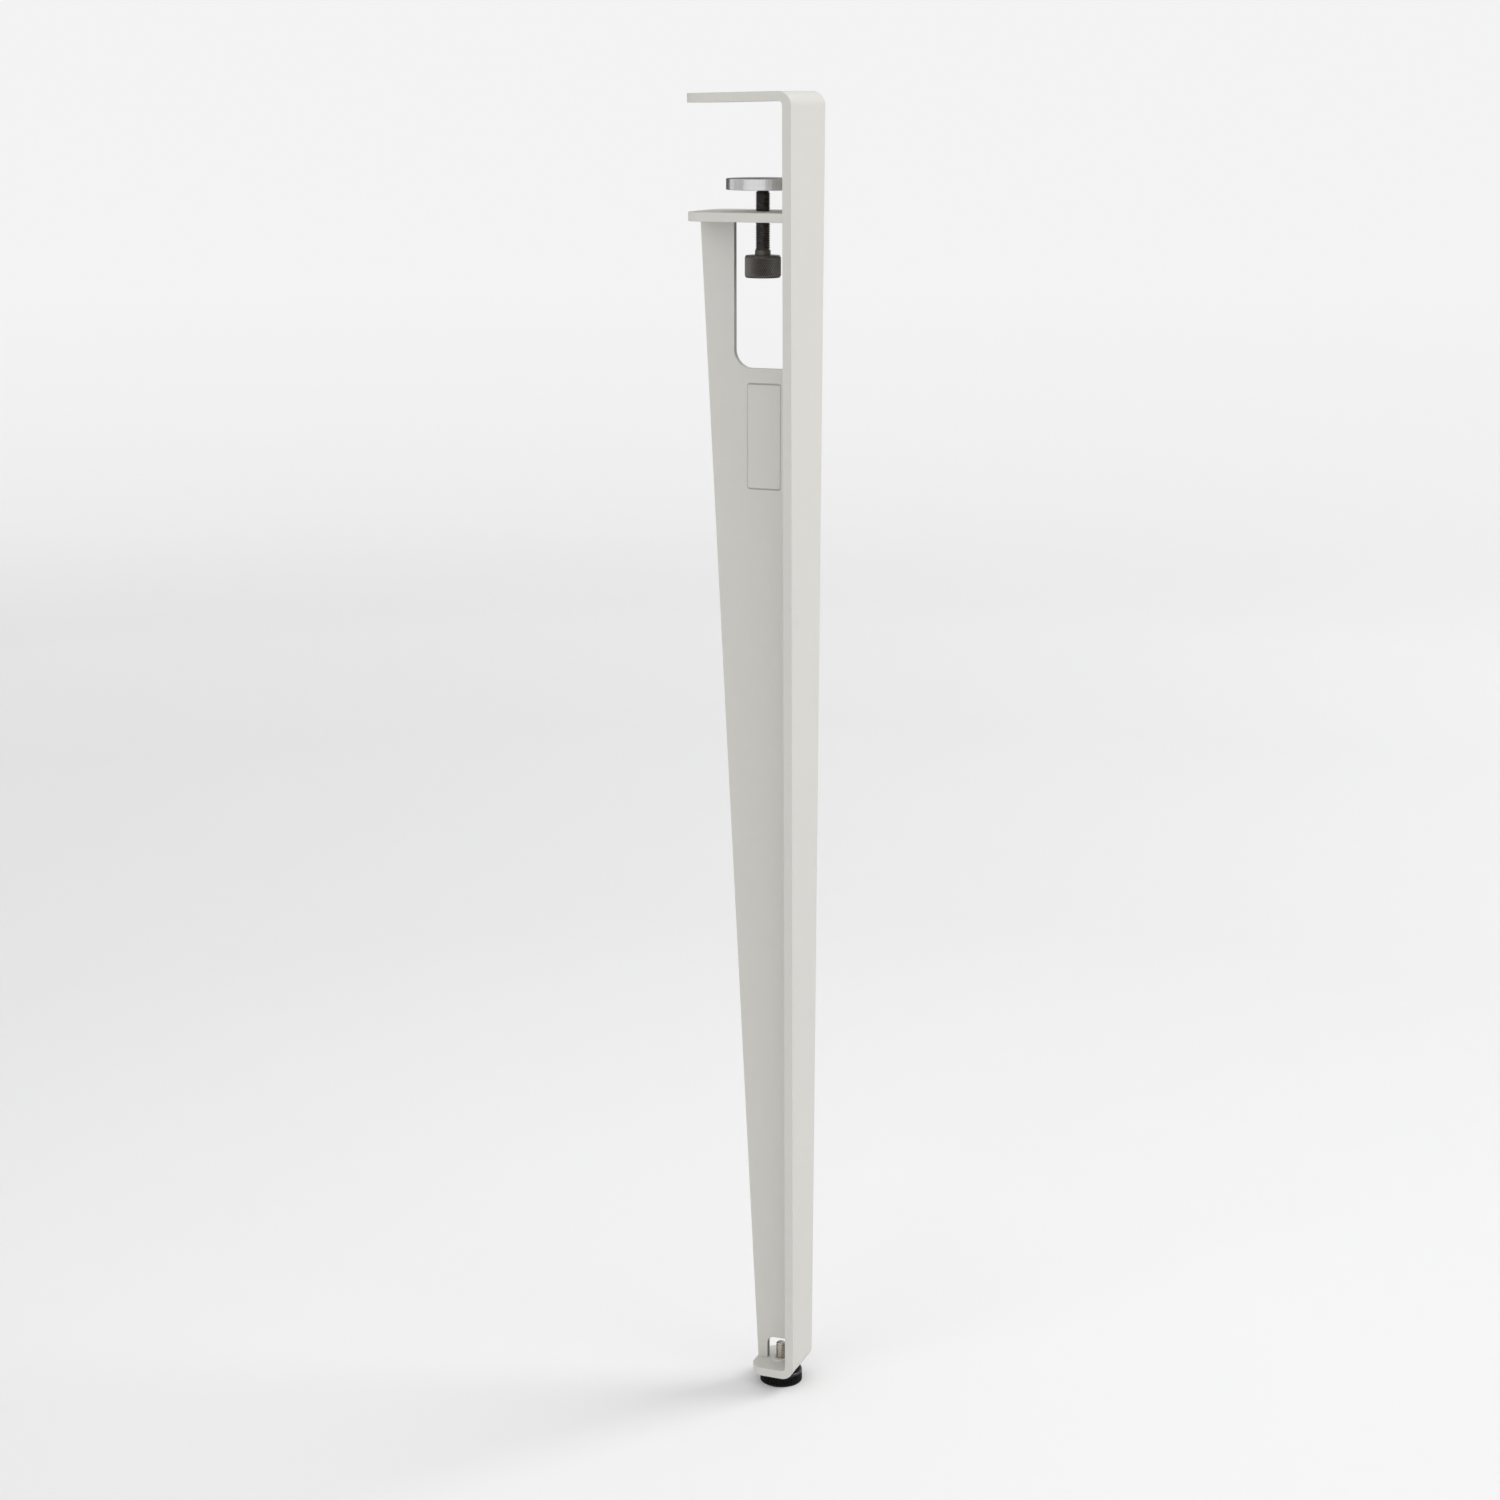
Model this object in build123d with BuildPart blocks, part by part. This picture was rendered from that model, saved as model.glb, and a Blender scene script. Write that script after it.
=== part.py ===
from build123d import *
import math
import os

# A clamp-on leg for an outdoor table. All sizes are in millimetres.
# The origin is the centre of the foot on the floor, and Z points up.
# The clamp opens towards minus X, and the upright's outer face looks towards plus X.
# Both halves are alike about the plane Y = 0, apart from the engraved frame on the web.

os.makedirs("parts", exist_ok=True)

# Clearances round a shaft and at its end
running_clearance = 0.05
end_play = 0.05

# Bent strip: one flat bar, cut to a taper and folded at the head and at the foot
leg_height = 750.0
sheet_thickness = 5.0
inner_bend_radius = 2.5
outer_face_x = 13.5
head_width = 54.0
floor_width = 32.3
flange_reach = 62.5
flange_droop = 1.2
flange_corner_radius = 10.0
foot_plate_reach = 28.0
foot_corner_radius = 9.0

# Web plate that stiffens the strip from the jaw down to the foot plate
web_thickness = 3.8
web_inset = 0.5
window_height = 80.0
window_post_width = 20.0
window_corner_radius = 10.0
relief_height = 13.6
relief_post_width = 6.0
relief_corner_radius = 4.0

# Engraved frame on the web, below the window
frame_width = 20.4
frame_height = 59.0
frame_corner_radius = 2.0
frame_below_window = 8.0
frame_to_strip = 9.1
groove_width = 0.9
groove_depth = 0.4

# Lower jaw of the clamp
jaw_below_head = 63.5
jaw_thickness = 5.0
jaw_corner_radius = 10.0

# Clamp screw, a socket head screw with a plain shoulder under its head
screw_to_strip = 21.0
screw_diameter = 8.0
tip_chamfer = 1.5
nose_diameter = 4.8
nose_length = 4.0
shoulder_diameter = 8.6
shoulder_rise = 3.0
shoulder_below_jaw = 15.6
screw_head_diameter = 13.0
screw_head_height = 8.0
socket_across_flats = 6.0
socket_depth = 4.4

# Knurled knob pressed over the screw's head
knob_diameter = 20.0
knob_height = 12.0
knob_roof = 3.0
knob_rim_chamfer = 0.5

# Pressure pad, turned from bar, and the ring that keeps it on the screw
pad_above_jaw = 11.5
pad_diameter = 40.0
pad_thickness = 6.0
pad_edge_chamfer = 0.3
ring_depth_in_pad = 1.5
ring_thickness = 1.0
ring_outer_diameter = 7.4
ring_inner_diameter = 3.8
ring_slot = 1.4

# Threaded insert in the foot plate
insert_flange_diameter = 11.7
insert_flange_thickness = 1.3
insert_shank_diameter = 9.0

# Foot: a moulded base on a threaded stud
foot_diameter = 25.0
foot_height = 7.2
foot_gap = 0.7
foot_top_radius = 1.0
foot_sole_chamfer = 0.4
rib_count = 44
rib_groove_depth = 0.4
smooth_rim_height = 1.6
stud_diameter = 6.0
stud_rise = 10.6
stud_chamfer = 0.7
stud_head_diameter = 11.0
stud_head_thickness = 2.0
foot_floor_thickness = 2.0

# Levels and places that follow from the sizes above
outer_bend_radius = inner_bend_radius + sheet_thickness
inner_face_x = outer_face_x - sheet_thickness
foot_plate_bottom_z = foot_height + foot_gap
foot_plate_top_z = foot_plate_bottom_z + sheet_thickness
foot_plate_end_x = outer_face_x - foot_plate_reach
flange_end_x = outer_face_x - flange_reach
jaw_top_z = leg_height - jaw_below_head
jaw_bottom_z = jaw_top_z - jaw_thickness
screw_x = inner_face_x - screw_to_strip
pad_bottom_z = jaw_top_z + pad_above_jaw
pad_top_z = pad_bottom_z + pad_thickness
shoulder_top_z = jaw_bottom_z - shoulder_below_jaw
knob_top_z = shoulder_top_z - shoulder_rise
knob_bottom_z = knob_top_z - knob_height
screw_head_top_z = knob_top_z - knob_roof
screw_head_bottom_z = screw_head_top_z - screw_head_height
stud_top_z = foot_plate_top_z + stud_rise


def strip_width_at(height):
    """Width of the tapered strip at a height above the floor."""
    return floor_width + (head_width - floor_width) * height / leg_height


def bore_radius(diameter):
    """Radius of a hole that a round piece of this diameter turns or seats in."""
    return diameter / 2 + running_clearance


def across_screw(height):
    """Level plane at a height above the floor, centred on the clamp screw."""
    return Plane(origin=(screw_x, 0, height))


# Upright plane through the clamp screw's axis, for turned sections
along_screw = Plane(origin=(screw_x, 0, 0), x_dir=(1, 0, 0), z_dir=(0, -1, 0))
screw_axis = Axis((screw_x, 0, 0), (0, 0, 1))


# Bent strip
# The flange leans down a little towards its free end, so that it grips when it is clamped.
# The corner is where the flange's top line would meet the outer face, with the bend's
# highest point at the leg's full height.
droop = math.radians(flange_droop)
head_corner_z = leg_height + outer_bend_radius * ((1 + math.sin(droop)) / math.cos(droop) - 1)
flange_end_z = head_corner_z - flange_reach * math.tan(droop)

with BuildPart() as bent_strip:
    with BuildSketch(Plane.XZ) as strip_profile:
        with BuildLine():
            FilletPolyline(
                (flange_end_x, flange_end_z),
                (outer_face_x, head_corner_z),
                (outer_face_x, foot_plate_bottom_z),
                (foot_plate_end_x, foot_plate_bottom_z),
                radius=outer_bend_radius,
            )
            offset(amount=sheet_thickness, side=Side.RIGHT)
        make_face()
    extrude(amount=head_width, both=True)
    with BuildSketch(Plane.YZ) as strip_taper:
        with BuildLine():
            Polyline(
                (-floor_width / 2, 0),
                (floor_width / 2, 0),
                (head_width / 2, leg_height),
                (-head_width / 2, leg_height),
                close=True,
            )
        make_face()
    extrude(amount=flange_reach, both=True, mode=Mode.INTERSECT)
    flange_end = bent_strip.faces().sort_by(Axis.X)[0]
    fillet(flange_end.edges().sort_by(SortBy.LENGTH)[:2], flange_corner_radius)
    foot_plate_end = bent_strip.faces().filter_by(Axis.X).sort_by(Axis.Z)[0]
    fillet(foot_plate_end.edges().sort_by(SortBy.LENGTH)[:2], foot_corner_radius)
    with BuildSketch(Plane.XY.offset(foot_plate_bottom_z)) as insert_hole:
        Circle(bore_radius(insert_shank_diameter))
    extrude(amount=sheet_thickness, mode=Mode.SUBTRACT)

# Web plate
web_head_x = flange_end_x + web_inset
web_foot_x = foot_plate_end_x + web_inset
window_x = web_head_x + window_post_width
window_sill_z = jaw_bottom_z - window_height
relief_x = web_foot_x + relief_post_width
relief_top_z = foot_plate_top_z + relief_height

with BuildPart() as web_plate:
    with BuildSketch(Plane.XZ) as web_outline:
        with BuildLine():
            Polyline(
                (web_foot_x, foot_plate_top_z),
                (web_head_x, jaw_bottom_z),
                (window_x, jaw_bottom_z),
                (window_x, window_sill_z),
                (inner_face_x, window_sill_z),
                (inner_face_x, relief_top_z),
                (relief_x, relief_top_z),
                (relief_x, foot_plate_top_z),
                close=True,
            )
        make_face()
        window_corner = web_outline.vertices().sort_by_distance((window_x, window_sill_z))[0]
        fillet(window_corner, window_corner_radius)
        relief_corner = web_outline.vertices().sort_by_distance((relief_x, relief_top_z))[0]
        fillet(relief_corner, relief_corner_radius)
    extrude(amount=web_thickness / 2, both=True)
    frame_x = inner_face_x - frame_to_strip - frame_width / 2
    frame_z = window_sill_z - frame_below_window - frame_height / 2
    with BuildSketch(Plane.XZ.offset(web_thickness / 2)) as engraved_frame:
        with Locations((frame_x, frame_z)):
            RectangleRounded(frame_width, frame_height, frame_corner_radius)
            RectangleRounded(
                frame_width - 2 * groove_width,
                frame_height - 2 * groove_width,
                frame_corner_radius - groove_width,
                mode=Mode.SUBTRACT,
            )
    extrude(amount=-groove_depth, mode=Mode.SUBTRACT)

# Lower jaw
jaw_width = strip_width_at(jaw_top_z - jaw_thickness / 2)

with BuildPart() as lower_jaw:
    with BuildSketch(Plane.XY.offset(jaw_bottom_z)) as jaw_outline:
        with Locations((inner_face_x, 0)):
            Rectangle(inner_face_x - flange_end_x, jaw_width, align=(Align.MAX, Align.CENTER))
        fillet(jaw_outline.vertices().sort_by(Axis.X)[:2], jaw_corner_radius)
        with Locations((screw_x, 0)):
            Circle(bore_radius(screw_diameter), mode=Mode.SUBTRACT)
    extrude(amount=jaw_thickness)

# Clamp screw
# Its nose turns in the pressure pad, and a groove in the nose holds the ring.
nose_top_z = pad_bottom_z + nose_length
ring_bottom_z = pad_bottom_z + ring_depth_in_pad
ring_top_z = ring_bottom_z + ring_thickness
groove_bottom_z = ring_bottom_z - end_play
groove_top_z = ring_top_z + end_play
nose_groove_radius = ring_inner_diameter / 2 - running_clearance

with BuildPart() as clamp_screw:
    with BuildSketch(along_screw) as screw_section:
        with BuildLine():
            Polyline(
                (0, screw_head_bottom_z),
                (screw_head_diameter / 2, screw_head_bottom_z),
                (screw_head_diameter / 2, screw_head_top_z),
                (shoulder_diameter / 2, screw_head_top_z),
                (shoulder_diameter / 2, shoulder_top_z),
                (screw_diameter / 2, shoulder_top_z),
                (screw_diameter / 2, pad_bottom_z - tip_chamfer),
                (nose_diameter / 2, pad_bottom_z),
                (nose_diameter / 2, groove_bottom_z),
                (nose_groove_radius, groove_bottom_z),
                (nose_groove_radius, groove_top_z),
                (nose_diameter / 2, groove_top_z),
                (nose_diameter / 2, nose_top_z),
                (0, nose_top_z),
                close=True,
            )
        make_face()
    revolve(axis=screw_axis)
    with BuildSketch(across_screw(screw_head_bottom_z)) as hex_socket:
        RegularPolygon(socket_across_flats / 2, side_count=6, major_radius=False)
    extrude(amount=socket_depth, mode=Mode.SUBTRACT)

# Knurled knob
with BuildPart() as knurled_knob:
    with BuildSketch(across_screw(knob_bottom_z)) as knob_outline:
        Circle(knob_diameter / 2)
        Circle(bore_radius(shoulder_diameter), mode=Mode.SUBTRACT)
    extrude(amount=knob_height)
    with BuildSketch(across_screw(knob_bottom_z)) as head_pocket:
        Circle(bore_radius(screw_head_diameter))
    extrude(amount=knob_height - knob_roof, mode=Mode.SUBTRACT)
    knob_rims = knurled_knob.edges().filter_by(GeomType.CIRCLE).sort_by(SortBy.RADIUS)[-2:]
    chamfer(knob_rims, knob_rim_chamfer)

# Pressure pad
pad_groove_radius = bore_radius(ring_outer_diameter)

with BuildPart() as pressure_pad:
    with BuildSketch(along_screw) as pad_section:
        with BuildLine():
            Polyline(
                (bore_radius(nose_diameter), pad_bottom_z),
                (pad_diameter / 2, pad_bottom_z),
                (pad_diameter / 2, pad_top_z),
                (0, pad_top_z),
                (0, nose_top_z),
                (bore_radius(nose_diameter), nose_top_z),
                (bore_radius(nose_diameter), groove_top_z),
                (pad_groove_radius, groove_top_z),
                (pad_groove_radius, groove_bottom_z),
                (bore_radius(nose_diameter), groove_bottom_z),
                close=True,
            )
        make_face()
    revolve(axis=screw_axis)
    pad_rims = pressure_pad.edges().filter_by(GeomType.CIRCLE).sort_by(SortBy.RADIUS)[-2:]
    chamfer(pad_rims, pad_edge_chamfer)

# Retaining ring, open at one side so that it springs into the groove
with BuildPart() as retaining_ring:
    with BuildSketch(across_screw(ring_bottom_z)) as ring_outline:
        Circle(ring_outer_diameter / 2)
        Circle(ring_inner_diameter / 2, mode=Mode.SUBTRACT)
        Rectangle(
            ring_outer_diameter, ring_slot, align=(Align.MIN, Align.CENTER), mode=Mode.SUBTRACT
        )
    extrude(amount=ring_thickness)

# Threaded insert
with BuildPart() as foot_insert:
    with BuildSketch(Plane.XY.offset(foot_plate_bottom_z)) as insert_shank:
        Circle(insert_shank_diameter / 2)
        Circle(bore_radius(stud_diameter), mode=Mode.SUBTRACT)
    extrude(amount=sheet_thickness)
    with BuildSketch(Plane.XY.offset(foot_plate_top_z)) as insert_flange:
        Circle(insert_flange_diameter / 2)
        Circle(bore_radius(stud_diameter), mode=Mode.SUBTRACT)
    extrude(amount=insert_flange_thickness)

# Foot stud, with a round head that the base holds
stud_head_top_z = foot_floor_thickness + stud_head_thickness

with BuildPart() as foot_stud:
    with BuildSketch(Plane.XZ) as stud_section:
        with BuildLine():
            Polyline(
                (0, foot_floor_thickness),
                (stud_head_diameter / 2, foot_floor_thickness),
                (stud_head_diameter / 2, stud_head_top_z),
                (stud_diameter / 2, stud_head_top_z),
                (stud_diameter / 2, stud_top_z - stud_chamfer),
                (stud_diameter / 2 - stud_chamfer, stud_top_z),
                (0, stud_top_z),
                close=True,
            )
        make_face()
    revolve(axis=Axis.Z)

# Foot base, with a ribbed grip below a smooth rounded rim
grip_height = foot_height - smooth_rim_height

with BuildPart() as foot_base:
    with BuildSketch(Plane.XZ) as base_section:
        with BuildLine():
            Polyline(
                (0, 0),
                (foot_diameter / 2, 0),
                (foot_diameter / 2, foot_height),
                (bore_radius(stud_diameter), foot_height),
                (bore_radius(stud_diameter), stud_head_top_z + end_play),
                (bore_radius(stud_head_diameter), stud_head_top_z + end_play),
                (bore_radius(stud_head_diameter), foot_floor_thickness),
                (0, foot_floor_thickness),
                close=True,
            )
        make_face()
    revolve(axis=Axis.Z)
    base_rims = foot_base.edges().filter_by(GeomType.CIRCLE).sort_by(SortBy.RADIUS)[-2:]
    fillet(base_rims.sort_by(Axis.Z)[-1], foot_top_radius)
    chamfer(base_rims.sort_by(Axis.Z)[0], foot_sole_chamfer)
    with BuildSketch() as rib_grooves:
        with PolarLocations(foot_diameter / 2, rib_count):
            RegularPolygon(rib_groove_depth, side_count=4)
    extrude(amount=grip_height, mode=Mode.SUBTRACT)

pieces = {
    "bent_strip": bent_strip,
    "web_plate": web_plate,
    "lower_jaw": lower_jaw,
    "clamp_screw": clamp_screw,
    "knurled_knob": knurled_knob,
    "pressure_pad": pressure_pad,
    "retaining_ring": retaining_ring,
    "foot_insert": foot_insert,
    "foot_stud": foot_stud,
    "foot_base": foot_base,
}

for name, piece in pieces.items():
    piece.part.label = name
    export_step(piece.part, f"parts/{name}.step")
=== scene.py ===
"""Looks of a clamp-on outdoor table leg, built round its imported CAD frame.

The origin is the centre of the foot on the floor, and Z points up. The clamp opens
towards minus X, and the upright's outer face looks towards plus X. Sizes are in
metres and have the names that the part's source gives them.
"""
import logging
import math
from collections.abc import Callable, Sequence
from dataclasses import dataclass
from enum import Enum
from typing import Any

import bmesh
import bpy
from mathutils import Matrix, Vector


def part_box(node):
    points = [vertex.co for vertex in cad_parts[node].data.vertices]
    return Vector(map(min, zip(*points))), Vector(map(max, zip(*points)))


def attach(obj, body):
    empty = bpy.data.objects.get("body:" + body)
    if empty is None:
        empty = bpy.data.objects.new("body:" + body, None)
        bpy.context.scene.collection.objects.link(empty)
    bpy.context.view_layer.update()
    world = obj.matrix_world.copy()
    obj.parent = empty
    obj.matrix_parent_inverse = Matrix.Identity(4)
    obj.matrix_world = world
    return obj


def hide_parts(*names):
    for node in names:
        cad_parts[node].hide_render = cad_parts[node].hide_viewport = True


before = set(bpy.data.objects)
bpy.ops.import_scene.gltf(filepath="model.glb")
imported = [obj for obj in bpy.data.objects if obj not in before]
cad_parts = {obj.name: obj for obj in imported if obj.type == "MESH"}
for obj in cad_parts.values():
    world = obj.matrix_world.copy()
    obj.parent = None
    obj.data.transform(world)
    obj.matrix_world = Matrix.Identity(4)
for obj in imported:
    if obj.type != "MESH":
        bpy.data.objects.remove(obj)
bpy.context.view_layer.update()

log = logging.getLogger("table_leg")

ARC_STEP = math.radians(7.5)  # largest turn between two facets of a rounded corner
SHARP_EDGE = math.radians(35)  # a fold over this angle stays a crisp edge
WELD_DISTANCE = 1e-6  # vertices nearer than this are one
THREAD_DEPTH = 0.4  # from crest to root, as a share of the pitch
OVERLAP = 0.0004  # how far a thread and the solids at its ends reach into each other
ROUND_SIDES = 64  # facets round a turned solid, where nothing else is said
EDGE_FACETS = 3  # facets of a rounded edge

Colour = tuple[float, float, float]
Place = tuple[float, float, float]
Corner = tuple[float, float, float]  # two coordinates and the radius of the corner there


class Body(Enum):
    """The CAD bodies that pieces ride on."""

    LEG = "leg"
    PAD = "pad"
    SCREW = "screw"
    STUD = "stud"
    FOOT = "foot"


def operator(operation: str, reflected: bool = False) -> Callable[..., "Wire"]:
    """A method of Wire that adds a Math node.

    Args:
        operation: The node's operation.
        reflected: Whether the wire is the right-hand value.

    Returns:
        The method.
    """

    def method(wire: "Wire", *others: Any) -> "Wire":
        """Adds the node and gives its output."""
        values = (*others, wire) if reflected else (wire, *others)
        return wire.graph.node("ShaderNodeMath", {"operation": operation}, dict(enumerate(values)))

    return method


class Wire:
    """A socket of a node tree that sums are written with."""

    __add__ = __radd__ = operator("ADD")
    __sub__ = operator("SUBTRACT")
    __rsub__ = operator("SUBTRACT", reflected=True)
    __mul__ = __rmul__ = operator("MULTIPLY")
    __truediv__ = operator("DIVIDE")
    __pow__ = operator("POWER")
    __mod__ = operator("FLOORED_MODULO")
    __gt__ = operator("GREATER_THAN")
    __lt__ = operator("LESS_THAN")
    floor = operator("FLOOR")
    round = operator("ROUND")
    cosine = operator("COSINE")
    sine = operator("SINE")
    at_least = operator("MAXIMUM")
    at_most = operator("MINIMUM")

    def __init__(self, graph: "Graph", socket: bpy.types.NodeSocket) -> None:
        """Keeps the socket and the graph that new nodes go into."""
        self.graph = graph
        self.socket = socket

    def out(self, name: str) -> "Wire":
        """Another output of the same node, by its name."""
        return Wire(self.graph, self.socket.node.outputs[name])

    def share(self) -> "Wire":
        """The value held between 0 and 1."""
        return self.at_least(0.0).at_most(1.0)


class Graph:
    """A node tree, whose new nodes all come from the add method."""

    def __init__(self, tree: bpy.types.NodeTree) -> None:
        """Keeps the tree."""
        self.tree = tree

    def feed(self, socket: bpy.types.NodeSocket, value: Any) -> None:
        """Links a wire to a socket, or writes a plain value on it.

        Args:
            socket: The input that takes the value.
            value: A wire, number, tuple, text or datablock.
        """
        if isinstance(value, Wire):
            self.tree.links.new(value.socket, socket)
        else:
            socket.default_value = value

    def add(
        self,
        kind: str,
        settings: dict[str, Any] | None = None,
        inputs: dict[Any, Any] | None = None,
    ) -> bpy.types.Node:
        """Adds a node.

        Args:
            kind: The node's type.
            settings: Its properties, set first. "stops" are the places and colours of a ramp.
            inputs: Values or wires by the socket's number, identifier or name.

        Returns:
            The node.
        """
        made = self.tree.nodes.new(kind)
        for name, value in (settings or {}).items():
            if name == "stops":
                self._set_stops(made.color_ramp, value)
            else:
                setattr(made, name, value)
        for key, value in (inputs or {}).items():
            self.feed(self._socket(made.inputs, key), value)
        return made

    def node(
        self,
        kind: str,
        settings: dict[str, Any] | None = None,
        inputs: dict[Any, Any] | None = None,
        output: int | str = 0,
    ) -> Wire:
        """Adds a node as add does, and gives its output of that number or identifier."""
        return Wire(self, self._socket(self.add(kind, settings, inputs).outputs, output))

    @staticmethod
    def _socket(sockets: Any, key: int | str) -> bpy.types.NodeSocket:
        """Finds a socket by number, identifier or name."""
        by_identifier = {socket.identifier: socket for socket in sockets}
        return by_identifier.get(key) or sockets[key]

    @staticmethod
    def _set_stops(ramp: bpy.types.ColorRamp, stops: Sequence[tuple[float, Colour]]) -> None:
        """Writes the places and colours of a ramp.

        Args:
            ramp: The ramp.
            stops: Its places and colours.
        """
        while len(ramp.elements) < len(stops):
            ramp.elements.new(1.0)
        for element, (place, colour) in zip(ramp.elements, stops):
            element.position = place
            element.color = (*colour, 1.0)

    def mixed(self, factor: Any, low: Any, high: Any) -> Wire:
        """A colour between two others.

        Args:
            factor: 0 gives the first colour and 1 the second.
            low: First colour.
            high: Second colour.

        Returns:
            The mixed colour.
        """
        inputs = {"Factor_Float": factor, "A_Color": low, "B_Color": high}
        return self.node("ShaderNodeMix", {"data_type": "RGBA"}, inputs, "Result_Color")

    def noise(self, where: Any, scale: float, detail: float, **settings: Any) -> Wire:
        """Noise from 0 to 1.

        Args:
            where: Coordinates, or a number where the settings ask for one dimension.
            scale: Waves a metre.
            detail: Number of finer layers.
            settings: Properties of the node.

        Returns:
            The noise as a number.
        """
        key = "W" if settings.get("noise_dimensions") == "1D" else "Vector"
        inputs = {key: where, "Scale": scale, "Detail": detail}
        return self.node("ShaderNodeTexNoise", settings, inputs)

    def combined(self, x: Any, y: Any, z: Any) -> Wire:
        """A vector from three numbers."""
        return self.node("ShaderNodeCombineXYZ", None, {0: x, 1: y, 2: z})

    def split(self, vector: Wire) -> tuple[Wire, Wire, Wire]:
        """The three numbers of a vector."""
        parts = self.node("ShaderNodeSeparateXYZ", None, {0: vector})
        return parts, parts.out("Y"), parts.out("Z")

    def round_place(self, axis_x: Any, radius: Any, angle: Wire, height: Any) -> Wire:
        """A place at an angle round an upright axis."""
        across, along = radius * angle.cosine(), radius * angle.sine()
        return self.combined(axis_x + across, along, height)


def distance(across: Wire, along: Wire) -> Wire:
    """Distance from the upright axis that two coordinates are measured from."""
    return (across ** 2.0 + along ** 2.0) ** 0.5


def shade(colour: Colour, factor: float = 1.0) -> tuple[float, float, float, float]:
    """A colour made lighter or darker, with full opacity."""
    return (*(channel * factor for channel in colour), 1.0)


@dataclass(frozen=True)
class Finish:
    """A surface, from which a material is made once."""

    name: str
    colour: Colour
    roughness: float = 0.5
    metallic: float = 0.0

    def material(self) -> bpy.types.Material:
        """The material of this finish, made at its first use.

        Returns:
            The material.
        """
        found = bpy.data.materials.get(self.name)
        if found:
            return found
        made = bpy.data.materials.new(self.name)
        made.use_nodes = True
        made.diffuse_color = shade(self.colour)
        graph = Graph(made.node_tree)
        shader = made.node_tree.nodes["Principled BSDF"]
        graph.feed(shader.inputs["Metallic"], self.metallic)
        places = graph.node("ShaderNodeTexCoord", None, None, "Object")
        for socket, value in self.surface(graph, places).items():
            graph.feed(shader.inputs[socket], value)
        return made

    def surface(self, graph: Graph, places: Wire) -> dict[str, Any]:
        """What the shader's sockets get.

        Args:
            graph: The material's tree.
            places: Object coordinates.

        Returns:
            Values and wires by the shader's socket names.
        """
        raise NotImplementedError


def bump(graph: Graph, height: Wire, depth: float) -> Wire:
    """A normal from a height of 0 to 1 and its depth in metres."""
    inputs = {"Height": height, "Distance": depth, "Strength": 1.0}
    return graph.node("ShaderNodeBump", None, inputs)


@dataclass(frozen=True)
class PowderCoat(Finish):
    """Baked powder with a fine orange peel and a faint drift of tone."""

    drift_scale: float = 22.0
    grain_scale: float = 3600.0
    peel_scale: float = 850.0
    peel_depth: float = 0.00005
    tone_spread: float = 0.025
    roughness_spread: float = 0.1

    def surface(self, graph: Graph, places: Wire) -> dict[str, Any]:
        """Colour, roughness and peel of the coat.

        Args:
            graph: The material's tree.
            places: Object coordinates.

        Returns:
            Values and wires by the shader's socket names.
        """
        drift = graph.noise(places, self.drift_scale, 3.0)
        grain = graph.noise(places, self.grain_scale, 1.0)
        peel = graph.noise(places, self.peel_scale, 1.0) * 0.75 + grain * 0.25
        dark, light = (shade(self.colour, 1 + side * self.tone_spread) for side in (-1, 1))
        return {
            "Base Color": graph.mixed(drift * 0.6 + grain * 0.4, dark, light),
            "Roughness": self.roughness + self.roughness_spread * (drift - 0.5),
            "Normal": bump(graph, peel, self.peel_depth),
        }


@dataclass(frozen=True)
class WebCoat(PowderCoat):
    """Powder coat with painted shade on the cut edges inside the window and the relief.

    The shade is painted darkest under the jaw. Painted shade also lies in the frame's level runs.
    """

    # Colour and strengths of the painted shade on the cut edges and in the frame's level runs
    painted_shade_colour: Colour = (0.03, 0.03, 0.027)
    edge_half: float = 0.0017
    slack: float = 0.0005
    window_x: float = -0.0285
    window_fade: float = 0.007
    window_low: float = 0.6
    window_painted_shade: float = 0.56
    jaw_shade_from: float = 0.642
    jaw_shade_reach: float = 0.04
    jaw_shade: float = 0.35
    relief_x: float = -0.008
    relief_fade: float = 0.003
    relief_top: float = 0.030
    relief_painted_shade: float = 0.78
    frame_low: float = 0.53
    frame_high: float = 0.598
    frame_middle: float = 0.564
    frame_reach: float = 0.0285
    frame_painted_shade: float = 0.35

    def surface(self, graph: Graph, places: Wire) -> dict[str, Any]:
        """The coat, with its painted shade.

        Args:
            graph: The material's tree.
            places: Object coordinates.

        Returns:
            Values and wires by the shader's socket names.
        """
        coat = super().surface(graph, places)
        across, along, up = graph.split(places)
        cut_edge = (along ** 2.0) < self.edge_half ** 2
        # The window's cut edges get painted shade, deepest towards the jaw
        window = (across > self.window_x - 2 * self.slack) * (up > self.window_low)
        window *= ((self.window_x + self.window_fade - across) / self.window_fade).share()
        under_jaw = ((up - self.jaw_shade_from) / self.jaw_shade_reach).share()
        window *= self.window_painted_shade + self.jaw_shade * under_jaw
        relief = (across > self.relief_x - self.slack) * (up < self.relief_top) * self.relief_painted_shade
        relief *= ((self.relief_x + self.relief_fade - across) / self.relief_fade).share()
        on_frame = (across > self.window_x) * (up > self.frame_low) * (up < self.frame_high)
        level_run = ((up - self.frame_middle) ** 2.0) > self.frame_reach ** 2
        # thin is the share of painted shade: window and relief edges, and the frame's level runs
        thin = cut_edge * (window + relief + on_frame * level_run * self.frame_painted_shade)
        coat["Base Color"] = graph.mixed(thin, coat["Base Color"], shade(self.painted_shade_colour))
        return coat


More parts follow.
